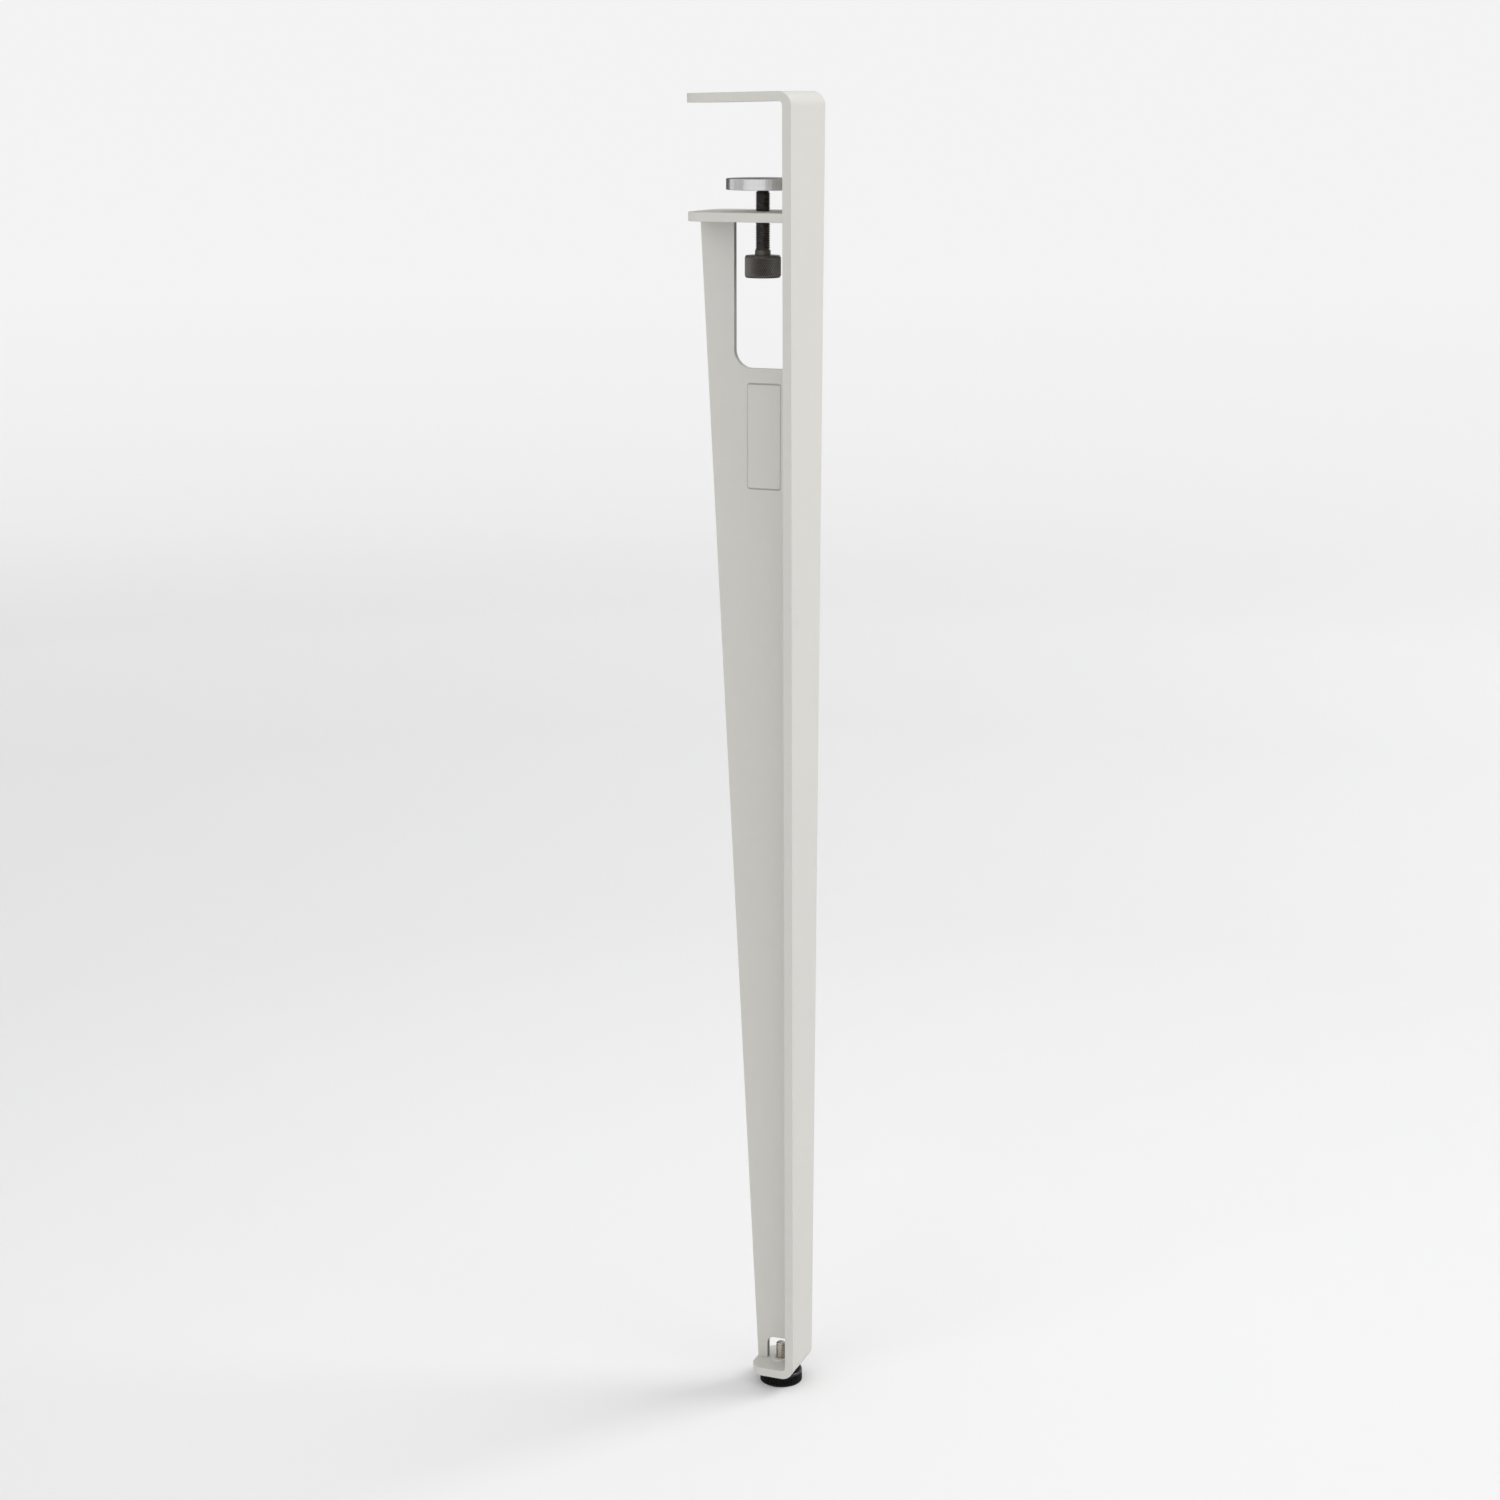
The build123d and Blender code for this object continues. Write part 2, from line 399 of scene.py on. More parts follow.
@dataclass(frozen=True)
class BlackenedSteel(Finish):
    """Black oxide on steel, a little brown where it is thin.

    Beyond a radius it is a knurl, lighter on its points from wear and a painted highlight, with
    painted shade between them.
    """

    thin_colour: Colour = (0.13, 0.115, 0.1)
    mottle_scale: float = 420.0
    tooth_scale: float = 5200.0
    tooth_depth: float = 0.000008
    thin_below: float = 0.0
    axis_x: float = -0.0125
    knurl_from: float = 1.0
    knurl_depth: float = 0.0005
    knurl_slack: float = 0.0001
    groove_painted_shade: float = 0.7
    groove_shade: float = 0.25

    def surface(self, graph: Graph, places: Wire) -> dict[str, Any]:
        """Mottled oxide with a fine tooth, and a knurl with worn, painted-highlight points and
        painted shade between them.

        Args:
            graph: The material's tree.
            places: Object coordinates.

        Returns:
            Values and wires by the shader's socket names.
        """
        mottle = graph.noise(places, self.mottle_scale, 4.0)
        tooth = graph.noise(places, self.tooth_scale, 2.0)
        across, along, up = graph.split(places)
        radius = distance(across - self.axis_x, along)
        # Knurl points are made lighter for wear and as a painted highlight; the grooves get painted
        # shade
        point = ((radius - self.knurl_from) / self.knurl_depth).share()
        shaded_groove = (radius > self.knurl_from - self.knurl_slack) * (1.0 - point)
        low = (up < self.thin_below) * (0.5 + 0.5 * mottle)
        thin = ((mottle - 0.5) * 3.0).share().at_least(low).at_least(point)
        oxide = graph.mixed(thin, shade(self.colour), shade(self.thin_colour))
        dark = shade(self.colour, self.groove_shade)
        return {
            "Base Color": graph.mixed(shaded_groove * self.groove_painted_shade, oxide, dark),
            "Roughness": self.roughness - 0.06 + 0.12 * mottle,
            "Normal": bump(graph, tooth, self.tooth_depth),
        }


@dataclass(frozen=True)
class TurnedMetal(Finish):
    """Bare metal with fine lathe rings round an axis, and an upright grain beyond a radius."""

    axis_x: float = 0.0
    ring_scale: float = 2600.0
    ring_depth: float = 0.000012
    broad_rings: float = 9.0  # how many fine rings make one broad ring
    smudge_scale: float = 160.0
    wall_radius: float = 1.0
    grain_scale: float = 15.0
    grain_depth: float = 5.0
    dark: float = 0.82
    light: float = 1.1

    def surface(self, graph: Graph, places: Wire) -> dict[str, Any]:
        """Rings on the flats and along a thread, and the upright grain on the wall.

        Args:
            graph: The material's tree.
            places: Object coordinates.

        Returns:
            Values and wires by the shader's socket names.
        """
        centring = {"Vector": places, "Location": (-self.axis_x, 0.0, 0.0)}
        across, out, up = graph.split(graph.node("ShaderNodeMapping", None, centring))
        radius = distance(across, out)
        along = radius + up
        wall = radius > self.wall_radius
        around = graph.combined(across / radius, out / radius, 0.0)
        grain = ((graph.noise(around, self.grain_scale, 4.0) - 0.5) * 2.0 + 0.5).share()
        turned = graph.noise(along, self.ring_scale, 3.0, noise_dimensions="1D")
        rings = turned + (grain - turned) * wall
        relief = turned + (grain * self.grain_depth - turned) * wall
        broad_scale = self.ring_scale / self.broad_rings
        broad = graph.noise(along, broad_scale, 2.0, noise_dimensions="1D")
        smudge = graph.noise(places, self.smudge_scale, 3.0)
        tone = rings * 0.5 + broad * 0.3 + smudge * 0.2
        dark, light = shade(self.colour, self.dark), shade(self.colour, self.light)
        return {
            "Base Color": graph.mixed(tone, dark, light),
            "Roughness": self.roughness - 0.06 + 0.08 * rings + 0.06 * smudge,
            "Normal": bump(graph, relief * 0.7 + broad * 0.3, self.ring_depth),
        }


@dataclass(frozen=True)
class MouldedPlastic(Finish):
    """Moulded plastic with a fine spark-eroded texture and a rim that hands have polished."""

    dust_colour: Colour = (0.09, 0.088, 0.084)
    dust_height: float = 0.0016
    texture_scale: float = 2400.0
    texture_depth: float = 0.00001
    rubbed_scale: float = 260.0
    gloss: float = 0.09
    rim_radius: float = 0.0108
    rim_height: float = 0.0058
    rim_roughness: float = 0.16

    def surface(self, graph: Graph, places: Wire) -> dict[str, Any]:
        """Texture of the mould, with rubbed and dusty patches and a smooth rim.

        Args:
            graph: The material's tree.
            places: Object coordinates.

        Returns:
            Values and wires by the shader's socket names.
        """
        texture = graph.noise(places, self.texture_scale, 2.0)
        rubbed = graph.noise(places, self.rubbed_scale, 4.0)
        across, along, up = graph.split(places)
        rim = (distance(across, along) > self.rim_radius) * (up > self.rim_height)
        dust = (1.0 - up / self.dust_height).share() * rubbed
        return {
            "Base Color": graph.mixed(dust * 0.5, shade(self.colour), shade(self.dust_colour)),
            "Roughness": self.roughness - 0.08 + 0.16 * rubbed + 0.2 * dust,
            "Specular IOR Level": self.gloss,
            "Coat Weight": rim * (0.5 + 0.5 * rubbed),
            "Coat Roughness": self.rim_roughness,
            "Normal": bump(graph, texture, self.texture_depth),
        }


def seen_ray(graph: Graph) -> Wire:
    """Tells the rays that show a surface from those by which it lights things.

    Args:
        graph: The material's tree.

    Returns:
        1 for camera, glossy and transmission rays, and 0 for others.
    """
    rays = graph.node("ShaderNodeLightPath")
    direct = rays.out("Is Camera Ray").at_least(rays.out("Is Glossy Ray"))
    return direct.at_least(rays.out("Is Transmission Ray"))


@dataclass(frozen=True)
class StudioPaper(Finish):
    """Pale seamless paper that keeps shadows on its floor and glows a little on its wall."""

    wall_tone: Colour = (0.895, 0.895, 0.897)
    wall_from: float = 2.6
    wall_to: float = 4.2
    reach: float = 3.2
    gloss: float = 0.1
    blue: float = 1.002
    # Painted light and shade: paper tones by distance as shares of the reach, darkest from 0.3 to
    # 0.55
    rings: tuple[tuple[float, float], ...] = (
        (0.0, 0.82), (0.1, 0.815), (0.3, 0.77), (0.55, 0.785), (0.75, 0.84), (1.0, 0.86)
    )

    def surface(self, graph: Graph, places: Wire) -> dict[str, Any]:
        """Tone of the paper by its distance from the leg: rings of painted light and shade.

        Args:
            graph: The material's tree.
            places: Object coordinates.

        Returns:
            Values and wires by the shader's socket names.
        """
        across, along, _ = graph.split(places)
        radius = distance(across, along)
        stops = [(place, (tone, tone, tone * self.blue)) for place, tone in self.rings]
        paper = graph.node("ShaderNodeValToRGB", {"stops": stops}, {0: radius / self.reach})
        wall = ((radius - self.wall_from) / (self.wall_to - self.wall_from)).share()
        glow = seen_ray(graph) * wall
        black = shade((0.0, 0.0, 0.0))
        return {
            "Base Color": graph.mixed(glow, paper, black),
            "Roughness": self.roughness,
            "Specular IOR Level": self.gloss,
            "Emission Color": graph.mixed(glow, black, shade(self.wall_tone)),
            "Emission Strength": 1.0,
        }


WARM_GREY: Colour = (0.60, 0.592, 0.558)
STRIP_COAT = PowderCoat("coat_strip", WARM_GREY, 0.52)
WEB_COAT = WebCoat("coat_web", WARM_GREY, 0.52)
JAW_COAT = PowderCoat("coat_jaw", WARM_GREY, 0.52)
INSERT_COAT = PowderCoat("coat_insert", WARM_GREY, 0.48)
SCREW_OXIDE = BlackenedSteel("oxide_screw", (0.075, 0.071, 0.067), 0.34, 0.9, thin_below=0.6662)
# The knob's light thin colour also makes its knurl points lighter: wear and a painted highlight
KNOB_OXIDE = BlackenedSteel(
    "oxide_knob", (0.18, 0.169, 0.157), 0.33, 0.9, (0.32, 0.295, 0.268), knurl_from=0.0095
)
PAD_METAL = TurnedMetal(
    "turned_pad", (0.77, 0.77, 0.78), 0.22, 1.0, axis_x=-0.0125, wall_radius=0.0195
)
RING_METAL = TurnedMetal("spring_ring", (0.35, 0.34, 0.33), 0.35, 1.0, axis_x=-0.0125)
STUD_METAL = TurnedMetal("plain_stud", (0.63, 0.58, 0.535), 0.24, 1.0)
FOOT_PLASTIC = MouldedPlastic("moulded_foot", (0.0035, 0.0035, 0.0037), 0.27)
BLACK_FELT = PowderCoat("black_felt", (0.11, 0.11, 0.11), 0.95)
GREY_CARD = PowderCoat("grey_card", (0.55, 0.55, 0.54), 0.95)
PAPER = StudioPaper("studio_paper", (0.86, 0.86, 0.862), 0.95)


class Part(Enum):
    """The pieces: name, CAD node, body, material slot and finish."""

    STRIP = ("strip_coated", "bent_strip", Body.LEG, "powder_coat_strip", STRIP_COAT)
    WEB = ("web_coated", "web_plate", Body.LEG, "powder_coat_web", WEB_COAT)
    JAW = ("jaw_coated", "lower_jaw", Body.LEG, "powder_coat_jaw", JAW_COAT)
    INSERT = ("insert_coated", "foot_insert", Body.LEG, "powder_coat_insert", INSERT_COAT)
    SCREW = ("screw_threaded", "clamp_screw", Body.SCREW, "black_screw", SCREW_OXIDE)
    KNOB = ("knob_knurled", "knurled_knob", Body.SCREW, "black_knob", KNOB_OXIDE)
    PAD = ("pad_turned", "pressure_pad", Body.PAD, "turned_aluminium", PAD_METAL)
    STUD = ("stud_threaded", "foot_stud", Body.STUD, "stainless_stud", STUD_METAL)
    BASE = ("base_ribbed", "foot_base", Body.FOOT, "black_plastic", FOOT_PLASTIC)

    def __init__(self, piece: str, node: str, body: Body, slot: str, finish: Finish) -> None:
        """Gives the row's entries their names."""
        self.piece, self.node, self.body = piece, node, body
        self.slot, self.finish = slot, finish


def turn(vector: Vector, angle: float) -> Vector:
    """A flat vector turned by an angle in radians."""
    return Matrix.Rotation(angle, 2) @ vector


def rounded(corners: Sequence[Corner]) -> list[Vector]:
    """Points of a closed outline with its corners rounded.

    Args:
        corners: Corners in order, each with its radius, or 0 where it stays sharp.

    Returns:
        The outline's points in the same order.
    """
    points = []
    for index, (across, up, radius) in enumerate(corners):
        here = Vector((across, up))
        before = (Vector(corners[index - 1][:2]) - here).normalized()
        after = (Vector(corners[(index + 1) % len(corners)][:2]) - here).normalized()
        if radius == 0:
            points.append(here)
            continue
        half = before.angle(after) / 2
        centre = here + (before + after).normalized() * radius / math.sin(half)
        spoke = here + before * radius / math.tan(half) - centre
        sweep = math.copysign(math.pi - 2 * half, -before.cross(after))
        steps = math.ceil(abs(sweep) / ARC_STEP)
        points += [centre + turn(spoke, sweep * step / steps) for step in range(steps + 1)]
    return points


def loft(rows: Sequence[Sequence[Vector]]) -> bmesh.types.BMesh:
    """A closed solid through rows that each go round once.

    Args:
        rows: Rows of as many points each, from one end to the other.

    Returns:
        The solid, with its faces outwards.
    """
    solid = bmesh.new()
    rings = [[solid.verts.new(point) for point in row] for row in rows]
    for ring, above in zip(rings, rings[1:]):
        for index in range(len(ring)):
            solid.faces.new((ring[index - 1], ring[index], above[index], above[index - 1]))
    solid.faces.new(rings[0])
    solid.faces.new(rings[-1])
    bmesh.ops.recalc_face_normals(solid, faces=solid.faces)
    return solid


def lathe(
    section: Sequence[Vector], axis_x: float, sides: int = ROUND_SIDES
) -> bmesh.types.BMesh:
    """A solid turned about an upright axis.

    Args:
        section: Closed outline as radius and height. Points at radius 0 are poles.
        axis_x: Place of the axis along X.
        sides: Number of facets round the axis.

    Returns:
        The solid, with its faces outwards.
    """
    solid = bmesh.new()
    rings = []
    for radius, height in section:
        angles = [math.tau * side / sides for side in range(sides)] if radius > 0 else [0.0]
        ring = [(axis_x + radius * math.cos(a), radius * math.sin(a), height) for a in angles]
        rings.append([solid.verts.new(place) for place in ring])
    for ring, after in zip(rings, rings[1:] + rings[:1]):
        for side in range(sides):
            corners = [
                ring[side % len(ring)],
                ring[(side + 1) % len(ring)],
                after[(side + 1) % len(after)],
                after[side % len(after)],
            ]
            corners = list(dict.fromkeys(corners))
            if len(corners) > 2:
                solid.faces.new(corners)
    bmesh.ops.recalc_face_normals(solid, faces=solid.faces)
    return solid


def upright(points: Sequence[Vector], depth: float) -> list[Vector]:
    """Points of an outline in the XZ plane, at a depth along Y."""
    return [Vector((across, depth, up)) for across, up in points]


def level(points: Sequence[Vector], height: float) -> list[Vector]:
    """Points of an outline in the XY plane, at a height."""
    return [Vector((across, along, height)) for across, along in points]


def shown(name: str, data: bpy.types.ID) -> bpy.types.Object:
    """Puts a new object into the scene.

    Args:
        name: Its name.
        data: Its mesh, lamp or camera.

    Returns:
        The object.
    """
    made = bpy.data.objects.new(name, data)
    bpy.context.scene.collection.objects.link(made)
    return made


def mesh_of(solid: bmesh.types.BMesh, name: str) -> bpy.types.Mesh:
    """A plain mesh from a bmesh, which is freed.

    Args:
        solid: The solid.
        name: Name of the mesh.

    Returns:
        The mesh, smooth but for folds over the sharp angle.
    """
    for face in solid.faces:
        face.smooth = True
    for edge in solid.edges:
        edge.smooth = edge.is_manifold and edge.calc_face_angle() < SHARP_EDGE
    made = bpy.data.meshes.new(name)
    solid.to_mesh(made)
    solid.free()
    return made


def settled(thing: bpy.types.Object) -> bpy.types.Mesh:
    """The mesh that an object has after its modifiers.

    Args:
        thing: An object in the scene, which is removed.

    Returns:
        The plain mesh.
    """
    graph = bpy.context.evaluated_depsgraph_get()
    result = bpy.data.meshes.new_from_object(
        thing.evaluated_get(graph), preserve_all_data_layers=True, depsgraph=graph
    )
    bpy.data.objects.remove(thing)
    return result


def cut(solid: bmesh.types.BMesh, tool: bmesh.types.BMesh) -> bmesh.types.BMesh:
    """Cuts one solid out of another.

    Args:
        solid: What is cut, which is freed.
        tool: What is taken away, which is freed.

    Returns:
        The cut solid.
    """
    cutter = shown("cutter", mesh_of(tool, "cutter"))
    stock = shown("stock", mesh_of(solid, "stock"))
    cutting = stock.modifiers.new("cut", "BOOLEAN")
    cutting.operation = "DIFFERENCE"
    cutting.solver = "EXACT"
    cutting.object = cutter
    mesh = settled(stock)
    bpy.data.objects.remove(cutter)
    made = bmesh.new()
    made.from_mesh(mesh)
    bpy.data.meshes.remove(mesh)
    bmesh.ops.remove_doubles(made, verts=made.verts, dist=WELD_DISTANCE)
    return made


def drill(
    plate: bmesh.types.BMesh, radius: float, axis_x: float, bottom: float, top: float
) -> bmesh.types.BMesh:
    """Cuts an upright round hole through a level plate.

    Args:
        plate: The plate, which is freed.
        radius: Radius of the hole.
        axis_x: Place of the hole along X.
        bottom: Height of the plate's lower face.
        top: Height of its upper face.

    Returns:
        The plate with its hole.
    """
    low, high = 2 * bottom - top, 2 * top - bottom
    bar = [Vector(corner) for corner in ((0, low), (radius, low), (radius, high), (0, high))]
    return cut(plate, lathe(bar, axis_x))


def soften(solid: bmesh.types.BMesh, width: float, chosen: Callable[[Vector], bool]) -> None:
    """Rounds the crisp edges of a solid.

    Args:
        solid: The solid, changed in place.
        width: How far the rounding reaches from the edge.
        chosen: Says of an edge's middle whether it is rounded.
    """
    crisp = [edge for edge in solid.edges if edge.calc_face_angle(0.0) > SHARP_EDGE]
    edges = [edge for edge in crisp if chosen((edge.verts[0].co + edge.verts[1].co) / 2)]
    bmesh.ops.bevel(
        solid,
        geom=edges,
        offset=width,
        offset_type="OFFSET",
        segments=EDGE_FACETS,
        profile=0.5,
        affect="EDGES",
        clamp_overlap=True,
    )


def present(part: Part, solids: Sequence[bmesh.types.BMesh | bpy.types.Mesh]) -> None:
    """Makes a finished piece that stands for a CAD node.

    Args:
        part: Which piece it is.
        solids: The solids that it is made of, joined into one mesh.
    """
    whole = bmesh.new()
    for solid in solids:
        mesh = solid if isinstance(solid, bpy.types.Mesh) else mesh_of(solid, part.piece)
        whole.from_mesh(mesh)
        bpy.data.meshes.remove(mesh)
    plain = shown("plain", mesh_of(whole, "plain"))
    even = plain.modifiers.new("even", "WEIGHTED_NORMAL")
    even.keep_sharp = True
    mesh = settled(plain)
    mesh.name = part.piece
    mesh.materials.clear()
    mesh.materials.append(part.finish.material())
    piece = shown(part.piece, mesh)
    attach(piece, part.body.value)
    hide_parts(part.node)
    low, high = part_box(part.node)
    log.info("%s: %d faces, CAD box %s to %s", part.piece, len(mesh.polygons), low[:], high[:])


class Recipe:
    """A Geometry Nodes tree with named sizes, and the mesh that it grows."""

    NAME = ""
    SIZES: tuple[str, ...] = ()

    def __init__(self) -> None:
        """Makes the tree's interface and fills the tree."""
        self.tree = bpy.data.node_groups.new(self.NAME, "GeometryNodeTree")
        self.graph = Graph(self.tree)
        self.socket("Geometry", "Geometry", "OUTPUT")
        self.keys = {size: self.socket(size, "Float") for size in self.SIZES}
        self.keys["Finish"] = self.socket("Finish", "Material")
        first = self.graph.add("NodeGroupInput")
        self.sizes = {size: Wire(self.graph, first.outputs[size]) for size in self.keys}
        self.build()

    def socket(self, name: str, kind: str, side: str = "INPUT") -> str:
        """Adds a socket to the tree's interface and gives its identifier."""
        sockets = self.tree.interface
        return sockets.new_socket(name, in_out=side, socket_type=f"NodeSocket{kind}").identifier

    def build(self) -> None:
        """Fills the tree."""
        raise NotImplementedError

    def close(self, shape: Wire) -> None:
        """Ends the tree with a realised shape that has its finish.

        Args:
            shape: The shape, with or without instances.
        """
        real = self.graph.node("GeometryNodeRealizeInstances", None, {0: shape})
        inputs = {"Geometry": real, "Material": self.sizes["Finish"]}
        painted = self.graph.node("GeometryNodeSetMaterial", None, inputs)
        self.graph.add("NodeGroupOutput", None, {0: painted})

    def scatter(self, count: Wire, place: Wire, shape: Wire, angles: Wire, spread: Wire) -> None:
        """Ends the tree with one shape at many places.

        Args:
            count: Number of copies.
            place: Where each one stands.
            shape: The shape.
            angles: How each one is turned about X, Y and Z.
            spread: Its size along its own X, Y and Z.
        """
        points = self.graph.node("GeometryNodePoints", None, {"Count": count, "Position": place})
        facing = self.graph.node("FunctionNodeEulerToRotation", None, {0: angles})
        inputs = {"Points": points, "Instance": shape, "Rotation": facing, "Scale": spread}
        self.close(self.graph.node("GeometryNodeInstanceOnPoints", None, inputs))

    def grow(self, part: Part, sizes: dict[str, float]) -> bpy.types.Mesh:
        """Grows the tree into a plain mesh.

        Args:
            part: The piece whose finish the mesh gets.
            sizes: A value for each of the tree's sizes.

        Returns:
            The mesh.
        """
        seed = shown(self.NAME, bpy.data.meshes.new(self.NAME))
        nodes = seed.modifiers.new("grow", "NODES")
        nodes.node_group = self.tree
        nodes[self.keys["Finish"]] = part.finish.material()
        for size, value in sizes.items():
            nodes[self.keys[size]] = float(value)
        return settled(seed)


@dataclass(frozen=True)
class ThreadSize:
    """Sizes of a thread: its rise in one turn and the radius of its crests."""

    pitch: float
    crest: float

    @property
    def root(self) -> float:
        """Radius between the crests."""
        return self.crest - THREAD_DEPTH * self.pitch


class ThreadRecipe(Recipe):
    """A right-hand screw thread as a closed rod, whose rows follow the helix."""

    NAME = "screw_thread"
    SIZES = ("Axis X", "Base", "Top", "Pitch", "Root", "Crest", "Run Out", "Rows")
    SIDES = 48
    CREST_WIDTH, FLANK_WIDTH, ROOT_WIDTH = 0.25, 0.275, 0.2  # shares of the pitch

    def build(self) -> None:
        """Fills the tree.

        Four rows make one turn: two edges of the crest and two edges of the root. A spare
        turn at each end is pressed flat there, which closes the rod's end.
        """
        graph, size = self.graph, self.sizes
        counts = {"Vertices X": self.SIDES + 1, "Vertices Y": size["Rows"]}
        grid = graph.node("GeometryNodeMeshGrid", None, {"Size X": 1.0, "Size Y": 1.0, **counts})
        across, along, _ = graph.split(graph.node("GeometryNodeInputPosition"))
        share = across + 0.5
        row = ((along + 0.5) * (size["Rows"] - 1.0)).round()
        corner = row % 4.0
        phase = (corner > 0.5) * self.CREST_WIDTH + (corner > 1.5) * self.FLANK_WIDTH
        phase += (corner > 2.5) * self.ROOT_WIDTH
        rise = size["Pitch"] * ((row / 4.0).floor() + phase + share - 2.0)
        height = (size["Base"] + rise).at_least(size["Base"]).at_most(size["Top"])
        fade_in = ((height - size["Base"]) / size["Run Out"]).share()
        fade_out = ((size["Top"] - height) / size["Run Out"]).share()
        crest = (corner < 1.5) * fade_in * fade_out
        inside = (row > 0.5) * (row < size["Rows"] - 1.5)
        radius = (size["Root"] + (size["Crest"] - size["Root"]) * crest) * inside
        place = graph.round_place(size["Axis X"], radius, share * math.tau, height)
        placed = graph.node("GeometryNodeSetPosition", None, {"Geometry": grid, "Position": place})
        inputs = {"Geometry": placed, "Distance": WELD_DISTANCE}
        self.close(graph.node("GeometryNodeMergeByDistance", None, inputs))

    def rod(
        self, part: Part, thread: ThreadSize, axis_x: float, base: float, top: float
    ) -> bpy.types.Mesh:
        """Grows one threaded rod.

        Args:
            part: The piece that it belongs to.
            thread: Sizes of its thread.
            axis_x: Place of the axis along X.
            base: Height where the thread starts.
            top: Height where it ends.

        Returns:
            The rod's mesh.
        """
        turns = math.ceil((top - base) / thread.pitch) + 3
        sizes = {
            "Axis X": axis_x,
            "Base": base,
            "Top": top,
            "Pitch": thread.pitch,
            "Root": thread.root,
            "Crest": thread.crest,
            "Run Out": thread.pitch / 2,
            "Rows": 4 * turns + 1,
        }
        return self.grow(part, sizes)


class KnurlRecipe(Recipe):
    """Staggered four-sided points round a drum, as a diamond knurl leaves them."""

    NAME = "diamond_knurl"
    SIZES = ("Axis X", "Radius", "Base", "Columns", "Rows", "Step", "Width", "Height")
    POINT = {"Vertices": 4, "Radius Top": 0.16, "Radius Bottom": 1.0, "Depth": 1.0}

    def build(self) -> None:
        """Fills the tree, with every other row half a point further round."""
        graph, size = self.graph, self.sizes
        index = graph.node("GeometryNodeInputIndex")
        row = (index / size["Columns"]).floor()
        column = index - row * size["Columns"]
        angle = (column + (row % 2.0) * 0.5) * math.tau / size["Columns"]
        height = size["Base"] + row * size["Step"]
        place = graph.round_place(size["Axis X"], size["Radius"], angle, height)
        point = graph.node("GeometryNodeMeshCone", {"fill_type": "NGON"}, self.POINT)
        angles = graph.combined(0.0, math.pi / 2, angle)
        spread = graph.combined(size["Step"], size["Width"], size["Height"])
        self.scatter(size["Columns"] * size["Rows"], place, point, angles, spread)


class RibRecipe(Recipe):
    """Rounded upright ribs round a drum."""

    NAME = "grip_ribs"
    SIZES = ("Radius", "Middle", "Count", "Depth", "Width", "Height")
    ROD = {"Vertices": 14, "Radius": 1.0, "Depth": 1.0}

    def build(self) -> None:
        """Fills the tree."""
        graph, size = self.graph, self.sizes
        angle = (graph.node("GeometryNodeInputIndex") + 0.5) * math.tau / size["Count"]
        place = graph.round_place(0.0, size["Radius"], angle, size["Middle"])
        rod = graph.node("GeometryNodeMeshCylinder", {"fill_type": "NGON"}, self.ROD)
        spread = graph.combined(size["Depth"], size["Width"], size["Height"])
        self.scatter(size["Count"], place, rod, graph.combined(0.0, 0.0, angle), spread)


